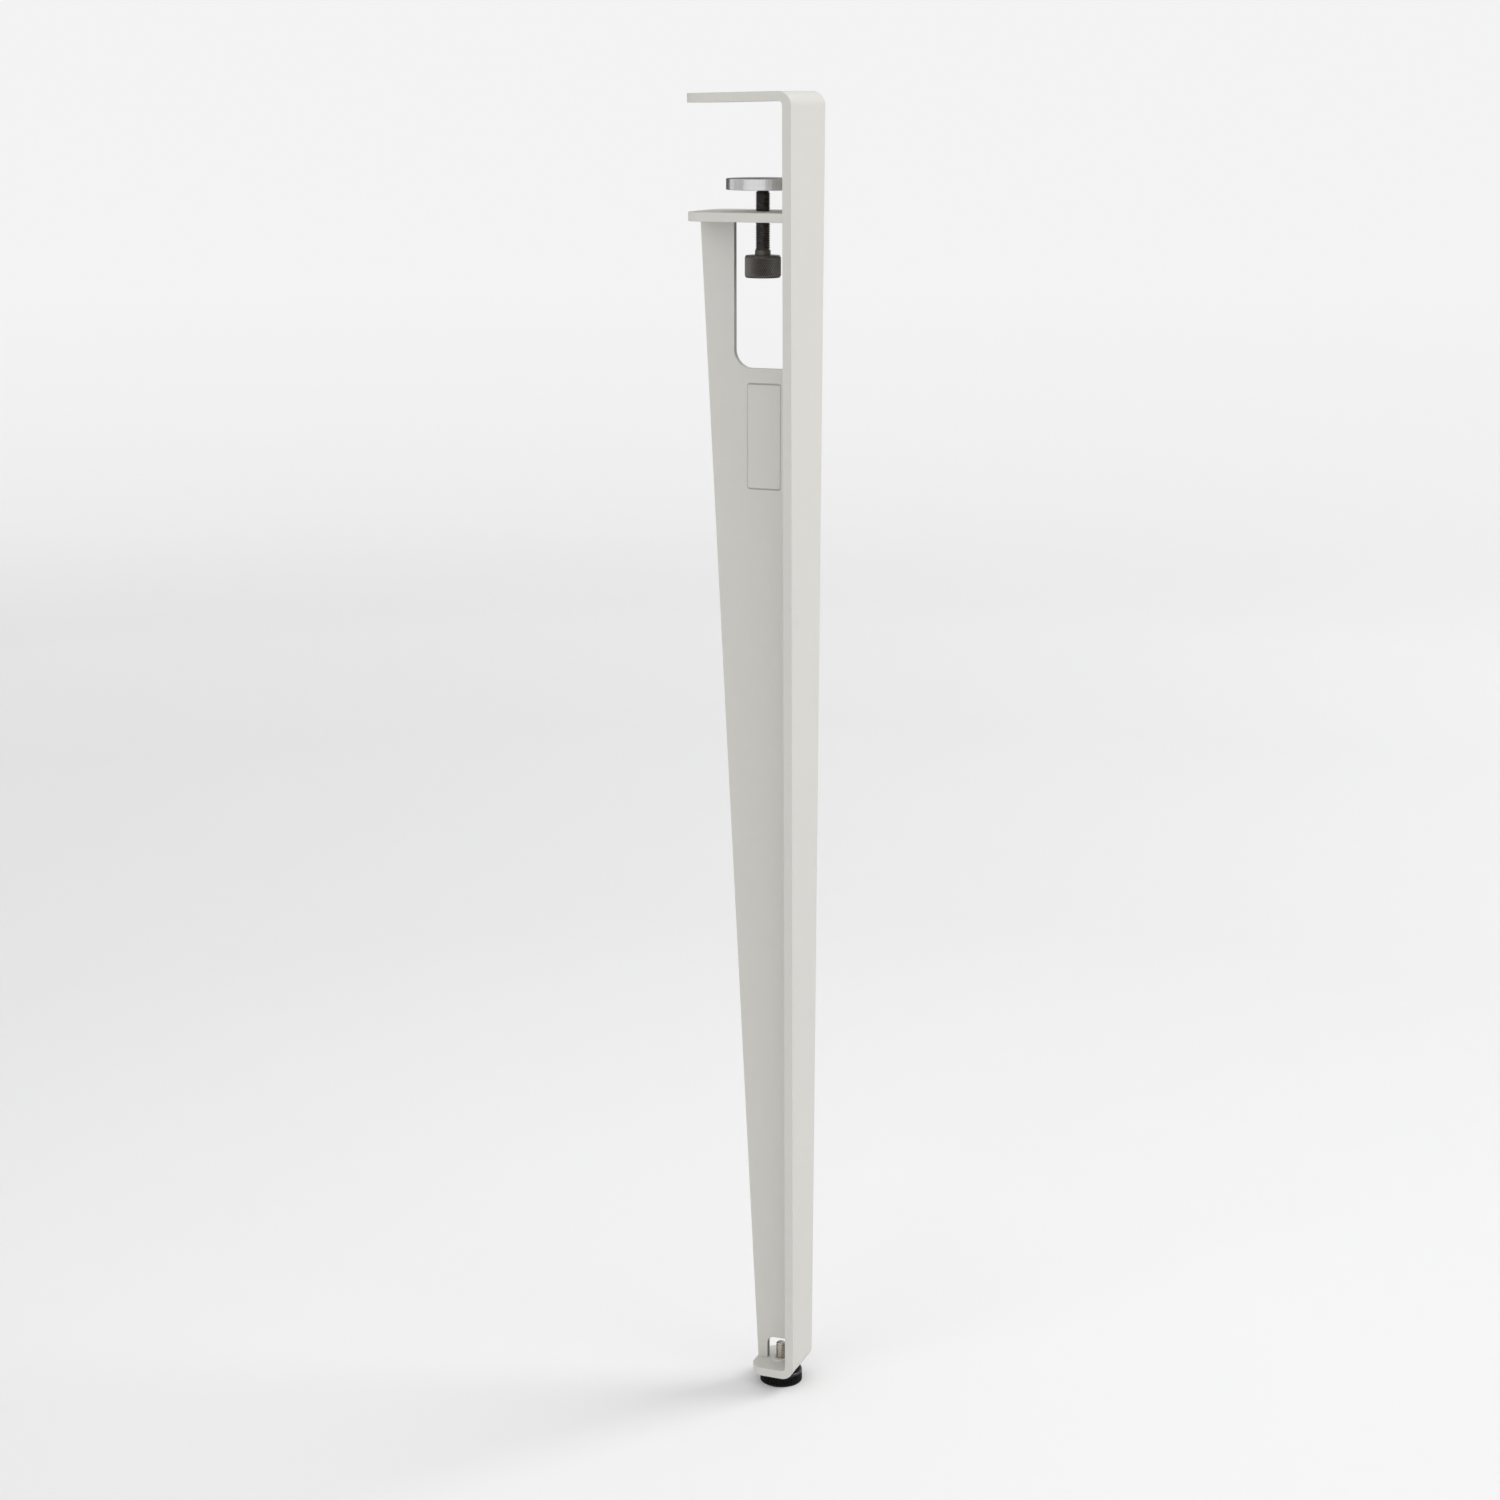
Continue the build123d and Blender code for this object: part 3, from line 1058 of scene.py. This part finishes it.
@dataclass
class SheetFrame:
    """The folded strip, the web, the lower jaw and the threaded insert of the foot plate."""

    leg_height: float = 0.750
    sheet: float = 0.005
    inner_bend: float = 0.0025
    outer_bend: float = 0.0075
    outer_face_x: float = 0.0135
    inner_face_x: float = 0.0085
    head_width: float = 0.054
    floor_width: float = 0.0323
    flange_end_x: float = -0.049
    flange_droop: float = math.radians(1.2)
    flange_corner: float = 0.010
    foot_plate_end_x: float = -0.0145
    foot_plate_z: float = 0.0079
    foot_corner: float = 0.009
    corner_steps: int = 12
    web_half: float = 0.0019
    web_inset: float = 0.0005
    window_x: float = -0.0285
    window_sill: float = 0.6015
    window_corner: float = 0.010
    relief_x: float = -0.008
    relief_top: float = 0.0265
    relief_corner: float = 0.004
    jaw_bottom: float = 0.6815
    jaw_top: float = 0.6865
    jaw_corner: float = 0.010
    screw_x: float = -0.0125
    screw_hole: float = 0.00405
    panel_width: float = 0.0204
    panel_height: float = 0.059
    panel_corner: float = 0.002
    panel_centre: tuple[float, float] = (-0.0108, 0.564)
    groove_width: float = 0.0009
    groove_depth: float = 0.0004
    insert_flange: float = 0.00585
    insert_flange_top: float = 0.0142
    insert_shank: float = 0.0045
    insert_bore: float = 0.00305
    insert_round: float = 0.0005
    insert_bore_round: float = 0.0003
    insert_end_round: float = 0.0002
    edge_round: float = 0.00045
    groove_round: float = 0.00018
    seam: float = 0.0001  # edges this near to a neighbouring piece stay crisp

    @property
    def plate_top(self) -> float:
        """Height of the foot plate's upper face."""
        return self.foot_plate_z + self.sheet

    def width_at(self, height: float) -> float:
        """Width of the tapered strip at a height."""
        return self.floor_width + (self.head_width - self.floor_width) * height / self.leg_height

    def fold_rows(self) -> list[tuple[Vector, Vector, float]]:
        """Rows along the folded strip.

        Returns:
            For each row its outer point, its inner point and how far its ends are drawn in.
        """
        droop = self.flange_droop
        drop = (1 + math.sin(droop)) / math.cos(droop) - 1
        head_z = self.leg_height + self.outer_bend * drop
        along = Vector((math.cos(droop), math.sin(droop)))
        into = Vector((math.sin(droop), -math.cos(droop))) * self.sheet
        flange_length = (self.outer_face_x - self.flange_end_x) / math.cos(droop)
        outer_end = Vector((self.outer_face_x, head_z)) - along * flange_length
        inner_end = outer_end + into
        inner_head = inner_end + along * ((self.inner_face_x - inner_end.x) / along.x)
        foot_end = Vector((self.foot_plate_end_x, self.foot_plate_z))
        lift = Vector((0.0, self.sheet))
        # The outlines close beyond both ends, where their corners stay sharp
        outer = rounded([
            (*outer_end, 0),
            (self.outer_face_x, head_z, self.outer_bend),
            (self.outer_face_x, self.foot_plate_z, self.outer_bend),
            (*foot_end, 0),
        ])[1:-1]
        inner = rounded([
            (*inner_end, 0),
            (*inner_head, self.inner_bend),
            (self.inner_face_x, self.plate_top, self.inner_bend),
            (*(foot_end + lift), 0),
        ])[1:-1]
        angles = [math.pi / 2 * step / self.corner_steps for step in range(self.corner_steps + 1)]
        rows = []
        for angle in angles:
            run = along * self.flange_corner * (1 - math.cos(angle))
            inset = self.flange_corner * (1 - math.sin(angle))
            rows.append((outer_end + run, inner_end + run, inset))
        rows += [(*pair, 0.0) for pair in zip(outer, inner)]
        for angle in reversed(angles):
            run = Vector((self.foot_corner * (1 - math.cos(angle)), 0.0))
            inset = self.foot_corner * (1 - math.sin(angle))
            rows.append((foot_end + run, foot_end + lift + run, inset))
        return rows

    def strip(self) -> None:
        """Builds the folded strip."""
        rows = []
        for outer, inner, inset in self.fold_rows():
            far_outer = self.width_at(outer.y) / 2 - inset
            far_inner = self.width_at(inner.y) / 2 - inset
            row = [(outer, -far_outer), (outer, far_outer), (inner, far_inner), (inner, -far_inner)]
            rows.append([Vector((point.x, side, point.y)) for point, side in row])
        solid = drill(loft(rows), self.insert_shank, 0.0, self.foot_plate_z, self.plate_top)
        # The edge of the hole stays crisp under the insert's flange
        soften(solid, self.edge_round, lambda middle: middle.xy.length > self.insert_flange)
        present(Part.STRIP, [solid])

    def web(self) -> None:
        """Builds the web plate with its engraved frame."""
        outline = rounded([
            (self.foot_plate_end_x + self.web_inset, self.plate_top, 0),
            (self.flange_end_x + self.web_inset, self.jaw_bottom, 0),
            (self.window_x, self.jaw_bottom, 0),
            (self.window_x, self.window_sill, self.window_corner),
            (self.inner_face_x, self.window_sill, 0),
            (self.inner_face_x, self.relief_top, 0),
            (self.relief_x, self.relief_top, self.relief_corner),
            (self.relief_x, self.plate_top, 0),
        ])
        plate = loft([upright(outline, side) for side in (-self.web_half, self.web_half)])
        frame_block = self.panel_block(0.0, self.groove_depth)
        inner_block = self.panel_block(self.groove_width, 3 * self.groove_depth)
        plate = cut(plate, cut(frame_block, inner_block))
        soften(plate, self.groove_round, self.in_panel)
        soften(plate, self.edge_round, self.is_free)
        present(Part.WEB, [plate])

    def panel_block(self, inset: float, depth: float) -> bmesh.types.BMesh:
        """A block over the engraved frame.

        Args:
            inset: How far its outline lies inside the frame's.
            depth: How deep it reaches into the web, and out of it.

        Returns:
            The block.
        """
        wide, high = self.panel_width / 2 - inset, self.panel_height / 2 - inset
        x, z = self.panel_centre
        corners = ((-wide, -high), (wide, -high), (wide, high), (-wide, high))
        outline = rounded([(x + a, z + b, self.panel_corner - inset) for a, b in corners])
        return loft([upright(outline, side * depth - self.web_half) for side in (-1, 1)])

    def in_panel(self, middle: Vector) -> bool:
        """Whether an edge belongs to the engraved frame.

        Args:
            middle: The edge's middle.

        Returns:
            True if it does.
        """
        x, z = self.panel_centre
        near_x = abs(middle.x - x) < self.panel_width / 2 + self.groove_width
        near_z = abs(middle.z - z) < self.panel_height / 2 + self.groove_width
        return near_x and near_z and middle.y < -self.groove_depth

    def is_free(self, middle: Vector) -> bool:
        """Whether an edge lies away from the engraved frame, the strip and the jaw.

        Args:
            middle: The edge's middle.

        Returns:
            True if it does.
        """
        clear_of_strip = middle.x < self.inner_face_x - self.seam
        clear_of_ends = self.plate_top + self.seam < middle.z < self.jaw_bottom - self.seam
        return clear_of_strip and clear_of_ends and not self.in_panel(middle)

    def jaw(self) -> None:
        """Builds the lower jaw with the screw's hole."""
        half = self.width_at((self.jaw_top + self.jaw_bottom) / 2) / 2
        outline = rounded([
            (self.inner_face_x, -half, 0),
            (self.flange_end_x, -half, self.jaw_corner),
            (self.flange_end_x, half, self.jaw_corner),
            (self.inner_face_x, half, 0),
        ])
        plate = loft([level(outline, height) for height in (self.jaw_bottom, self.jaw_top)])
        plate = drill(plate, self.screw_hole, self.screw_x, self.jaw_bottom, self.jaw_top)
        soften(plate, self.edge_round, lambda middle: middle.x < self.inner_face_x - self.seam)
        present(Part.JAW, [plate])

    def insert(self) -> None:
        """Builds the threaded insert, a flange on the foot plate and a shank through it."""
        section = rounded([
            (self.insert_bore, self.foot_plate_z, self.insert_end_round),
            (self.insert_shank, self.foot_plate_z, self.insert_end_round),
            (self.insert_shank, self.plate_top, 0),
            (self.insert_flange, self.plate_top, 0),
            (self.insert_flange, self.insert_flange_top, self.insert_round),
            (self.insert_bore, self.insert_flange_top, self.insert_bore_round),
        ])
        present(Part.INSERT, [lathe(section, 0.0)])


@dataclass
class Clamp:
    """The clamp screw, its knob, the pressure pad and the ring that holds it."""

    axis_x: float = -0.0125
    thread: ThreadSize = ThreadSize(pitch=0.00125, crest=0.00398)
    head_bottom: float = 0.6519
    head_top: float = 0.6599
    head_radius: float = 0.0065
    head_round: float = 0.0005
    socket_flats: float = 0.006
    socket_depth: float = 0.0044
    shoulder_radius: float = 0.0043
    shoulder_top: float = 0.6659
    shoulder_round: float = 0.0004
    tip_start: float = 0.6965
    tip_round: float = 0.0003
    nose_radius: float = 0.0024
    nose_top: float = 0.702
    nose_bore: float = 0.00245
    nose_round: float = 0.0002
    pad_bottom: float = 0.698
    pad_top: float = 0.704
    pad_radius: float = 0.020
    pad_edge: float = 0.00035
    pad_sides: int = 128
    bore_round: float = 0.0003
    knob_bottom: float = 0.6509
    knob_top: float = 0.6629
    knob_radius: float = 0.010
    knob_roof: float = 0.003
    knob_pocket: float = 0.00655
    knob_rim: float = 0.0004
    knob_bore_round: float = 0.0002
    knob_sides: int = 96
    clearance: float = 0.00005
    knurl_depth: float = 0.0005
    knurl_columns: int = 46
    knurl_rows: int = 10
    knurl_sink: float = 0.00002
    knurl_gap: float = 0.0001

    def screw(self, threads: ThreadRecipe) -> None:
        """Builds the socket head screw with its thread.

        Args:
            threads: Recipe for the thread.
        """
        head = rounded([
            (0, self.head_bottom, 0),
            (self.head_radius, self.head_bottom, self.head_round),
            (self.head_radius, self.head_top, 0),
            (self.shoulder_radius, self.head_top, 0),
            (self.shoulder_radius, self.shoulder_top, self.shoulder_round),
            (0, self.shoulder_top, 0),
        ])
        tip = rounded([
            (0, self.tip_start - 2 * OVERLAP, 0),
            (self.thread.root, self.tip_start - 2 * OVERLAP, 0),
            (self.thread.root, self.tip_start + OVERLAP / 2, self.tip_round),
            (self.nose_radius, self.pad_bottom, 0),
            (self.nose_radius, self.nose_top, self.nose_round),
            (0, self.nose_top, 0),
        ])
        centre = Vector((self.axis_x, 0.0))
        spoke = Vector((self.socket_flats / math.sqrt(3), 0.0))
        hexagon = [centre + turn(spoke, math.tau * side / 6) for side in range(6)]
        heights = (self.head_bottom - self.socket_depth, self.head_bottom + self.socket_depth)
        socket = loft([level(hexagon, height) for height in heights])
        base, top = self.shoulder_top - OVERLAP, self.tip_start + OVERLAP
        solids = [
            cut(lathe(head, self.axis_x), socket),
            lathe(tip, self.axis_x, threads.SIDES),
            threads.rod(Part.SCREW, self.thread, self.axis_x, base, top),
        ]
        present(Part.SCREW, solids)

    def knob(self, knurls: KnurlRecipe) -> None:
        """Builds the knob with its diamond knurl.

        Args:
            knurls: Recipe for the knurl.
        """
        drum = self.knob_radius - self.knurl_depth
        bore = self.shoulder_radius + self.clearance
        roof = self.knob_top - self.knob_roof
        section = rounded([
            (self.knob_pocket, self.knob_bottom, self.bore_round),
            (drum, self.knob_bottom, self.knob_rim),
            (drum, self.knob_top, self.knob_rim),
            (bore, self.knob_top, self.knob_bore_round),
            (bore, roof, 0),
            (self.knob_pocket, roof, 0),
        ])
        margin = self.knob_rim + self.knurl_gap
        step = (self.knob_top - self.knob_bottom - 2 * margin) / (self.knurl_rows + 1)
        sizes = {
            "Axis X": self.axis_x,
            "Radius": drum - self.knurl_sink,
            "Base": self.knob_bottom + margin + step,
            "Columns": self.knurl_columns,
            "Rows": self.knurl_rows,
            "Step": step,
            "Width": math.pi * drum / self.knurl_columns,
            "Height": self.knurl_depth,
        }
        body = lathe(section, self.axis_x, self.knob_sides)
        present(Part.KNOB, [body, knurls.grow(Part.KNOB, sizes)])

    def pad(self) -> None:
        """Builds the turned pad, with the blind bore for the screw's nose."""
        section = rounded([
            (self.nose_bore, self.pad_bottom, self.bore_round),
            (self.pad_radius, self.pad_bottom, self.pad_edge),
            (self.pad_radius, self.pad_top, self.pad_edge),
            (0, self.pad_top, 0),
            (0, self.nose_top, 0),
            (self.nose_bore, self.nose_top, 0),
        ])
        present(Part.PAD, [lathe(section, self.axis_x, self.pad_sides)])

    def ring(self) -> None:
        """Gives the CAD's retaining ring its metal, because its shape is right as it is."""
        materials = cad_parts["retaining_ring"].data.materials
        materials.clear()
        materials.append(RING_METAL.material())
        log.info("retaining_ring keeps its CAD shape")


@dataclass
class LevellingFoot:
    """The threaded stud and the ribbed base of the foot."""

    thread: ThreadSize = ThreadSize(pitch=0.001, crest=0.00298)
    head_bottom: float = 0.002
    head_top: float = 0.004
    head_radius: float = 0.0055
    head_round: float = 0.0002
    thread_bottom: float = 0.0062
    stud_top: float = 0.0235
    stud_chamfer: float = 0.0007
    stud_tip_round: float = 0.00015
    base_radius: float = 0.0125
    base_height: float = 0.0072
    base_round: float = 0.001
    base_sides: int = 132  # three for each rib
    sole_round: float = 0.0004
    ledge_round: float = 0.0002
    bore_round: float = 0.0003
    floor_thickness: float = 0.002
    clearance: float = 0.00005
    rib_count: int = 44
    rib_depth: float = 0.0004
    rib_width: float = 0.0006
    grip_bottom: float = 0.0005
    grip_top: float = 0.0056

    def stud(self, threads: ThreadRecipe) -> None:
        """Builds the stud with its round head.

        Args:
            threads: Recipe for the thread.
        """
        crest = self.thread.crest
        head = rounded([
            (0, self.head_bottom, 0),
            (self.head_radius, self.head_bottom, self.head_round),
            (self.head_radius, self.head_top, self.head_round),
            (crest, self.head_top, self.head_round),
            (crest, self.thread_bottom, self.head_round),
            (0, self.thread_bottom, 0),
        ])
        end_bottom = self.stud_top - self.stud_chamfer - OVERLAP
        end = rounded([
            (0, end_bottom, 0),
            (self.thread.root, end_bottom, 0),
            (crest, end_bottom + OVERLAP, 0),
            (crest - self.stud_chamfer, self.stud_top, self.stud_tip_round),
            (0, self.stud_top, 0),
        ])
        base, top = self.thread_bottom - OVERLAP, end_bottom + OVERLAP / 2
        solids = [
            lathe(head, 0.0),
            lathe(end, 0.0, threads.SIDES),
            threads.rod(Part.STUD, self.thread, 0.0, base, top),
        ]
        present(Part.STUD, solids)

    def base(self, ribs: RibRecipe) -> None:
        """Builds the moulded base with its ribs.

        Args:
            ribs: Recipe for the ribs.
        """
        drum = self.base_radius - self.rib_depth
        bore = self.thread.crest + 2 * self.clearance
        cavity = self.head_radius + self.clearance
        cavity_top = self.head_top + self.clearance
        section = rounded([
            (0, 0, 0),
            (self.base_radius, 0, self.sole_round),
            (self.base_radius, self.grip_bottom, 0),
            (drum, self.grip_bottom, 0),
            (drum, self.grip_top, 0),
            (self.base_radius, self.grip_top, self.ledge_round),
            (self.base_radius, self.base_height, self.base_round),
            (bore, self.base_height, self.bore_round),
            (bore, cavity_top, 0),
            (cavity, cavity_top, 0),
            (cavity, self.floor_thickness, 0),
            (0, self.floor_thickness, 0),
        ])
        sizes = {
            "Radius": drum,
            "Middle": (self.grip_bottom + self.grip_top) / 2,
            "Count": self.rib_count,
            "Depth": self.rib_depth,
            "Width": self.rib_width,
            "Height": self.grip_top - self.grip_bottom,
        }
        body = lathe(section, 0.0, self.base_sides)
        present(Part.BASE, [body, ribs.grow(Part.BASE, sizes)])


@dataclass(frozen=True)
class Lamp:
    """A soft square lamp, with its side in metres and its power in watts."""

    name: str
    place: Place
    side: float
    power: float
    in_reflections: bool = True

    def hang(self, aim: Place) -> None:
        """Hangs the lamp, which the camera doesn't see.

        Args:
            aim: What it points at.
        """
        made = shown(self.name, bpy.data.lights.new(self.name, "AREA"))
        made.data.shape = "SQUARE"
        made.data.size = self.side
        made.data.energy = self.power
        made.location = self.place
        made.rotation_euler = (Vector(aim) - made.location).to_track_quat("-Z", "Y").to_euler()
        made.visible_camera = False
        made.visible_glossy = self.in_reflections


@dataclass(frozen=True)
class Card:
    """A curved card round the leg, between two angles in degrees from plus X."""

    name: str
    finish: Finish
    sides: tuple[float, float]
    heights: tuple[float, float]
    radius: float = 1.4
    thickness: float = 0.01
    steps: int = 12

    def stand(self) -> None:
        """Stands the card where it shows only in reflections."""
        first, last = (math.radians(side) for side in self.sides)
        angles = [first + (last - first) * step / self.steps for step in range(self.steps + 1)]
        inner = [turn(Vector((self.radius, 0.0)), angle) for angle in angles]
        back = Vector((self.radius + self.thickness, 0.0))
        outline = inner + [turn(back, angle) for angle in reversed(angles)]
        solid = loft([level(outline, height) for height in self.heights])
        made = shown(self.name, mesh_of(solid, self.name))
        made.data.materials.append(self.finish.material())
        made.visible_camera = False
        made.visible_shadow = False
        made.visible_diffuse = False


@dataclass
class Studio:
    """Camera, seamless paper bowl, soft lamps and cards."""

    camera_place: Place = (0.5335, -1.4226, 0.7484)
    camera_yaw: float = math.radians(21.261)
    camera_pitch: float = math.radians(13.39)
    lens: float = 66.14
    sensor_width: float = 36.0
    clip_end: float = 50.0
    floor_radius: float = 3.2
    sweep_radius: float = 1.6
    sweep_steps: int = 24
    wall_top: float = 3.6
    paper_thickness: float = 0.02
    paper_sides: int = 128
    ambient: float = 0.8
    aim: Place = (0.0, 0.0, 0.4)
    lamps: tuple[Lamp, ...] = (
        Lamp("key", (2.2, 1.7, 3.0), 1.8, 59.0),
        Lamp("side", (2.9, -0.9, 1.4), 1.4, 8.0),
        Lamp("fill", (-0.9, -2.7, 1.7), 2.0, 16.0, in_reflections=False),
    )
    cards: tuple[Card, ...] = (
        Card("felt_left", BLACK_FELT, (110.0, 166.0), (0.0, 1.7)),
        Card("card_left", GREY_CARD, (183.0, 232.0), (0.2, 1.4)),
        Card("card_right", GREY_CARD, (-62.0, 5.0), (0.2, 1.4)),
    )

    def camera(self) -> None:
        """Puts the camera where the photograph was taken from.

        The photograph's level camera has a large shift, which the other views would
        keep, so this one looks down from the same place instead.
        """
        made = shown("camera", bpy.data.cameras.new("camera"))
        made.data.lens = self.lens
        made.data.sensor_width = self.sensor_width
        made.data.clip_end = self.clip_end
        made.location = self.camera_place
        made.rotation_euler = (math.pi / 2 - self.camera_pitch, 0.0, self.camera_yaw)
        bpy.context.scene.camera = made

    def paper(self) -> None:
        """Builds the paper bowl, whose floor sweeps up into a round wall.

        The paper goes up and down with the stud, so the foot stands on it at every height.
        """
        section = [Vector((0.0, 0.0)), Vector((self.floor_radius, 0.0))]
        for step in range(1, self.sweep_steps + 1):
            angle = math.pi / 2 * step / self.sweep_steps
            across = self.floor_radius + self.sweep_radius * math.sin(angle)
            section.append(Vector((across, self.sweep_radius * (1 - math.cos(angle)))))
        section.append(Vector((section[-1].x, self.wall_top)))
        behind = Vector((self.paper_thickness, -self.paper_thickness))
        outside = [point + behind for point in section[1:]]
        shell = section + outside[::-1] + [Vector((0.0, -self.paper_thickness))]
        bowl = shown("paper_bowl", mesh_of(lathe(shell, 0.0, self.paper_sides), "paper_bowl"))
        bowl.data.materials.append(PAPER.material())
        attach(bowl, Body.STUD.value)

    def lights(self) -> None:
        """Lights the leg from the right and behind, and fills it from the front."""
        for lamp in self.lamps:
            lamp.hang(self.aim)
        for card in self.cards:
            card.stand()
        world = bpy.data.worlds.new("studio_air")
        world.use_nodes = True
        bpy.context.scene.world = world
        air = world.node_tree.nodes["Background"].inputs
        air["Color"].default_value = shade((1.0, 1.0, 1.0))
        air["Strength"].default_value = self.ambient


def main() -> None:
    """Builds the studio and the sub-assemblies in order."""
    logging.basicConfig(level=logging.INFO, format="%(name)s: %(message)s")
    scene = bpy.context.scene
    scene.view_settings.view_transform = "Standard"
    studio = Studio()
    studio.camera()
    studio.paper()
    studio.lights()
    threads = ThreadRecipe()
    sheets = SheetFrame()
    sheets.strip()
    sheets.web()
    sheets.jaw()
    sheets.insert()
    clamp = Clamp()
    clamp.screw(threads)
    clamp.knob(KnurlRecipe())
    clamp.pad()
    clamp.ring()
    foot = LevellingFoot()
    foot.stud(threads)
    foot.base(RibRecipe())


if __name__ == "__main__":
    main()
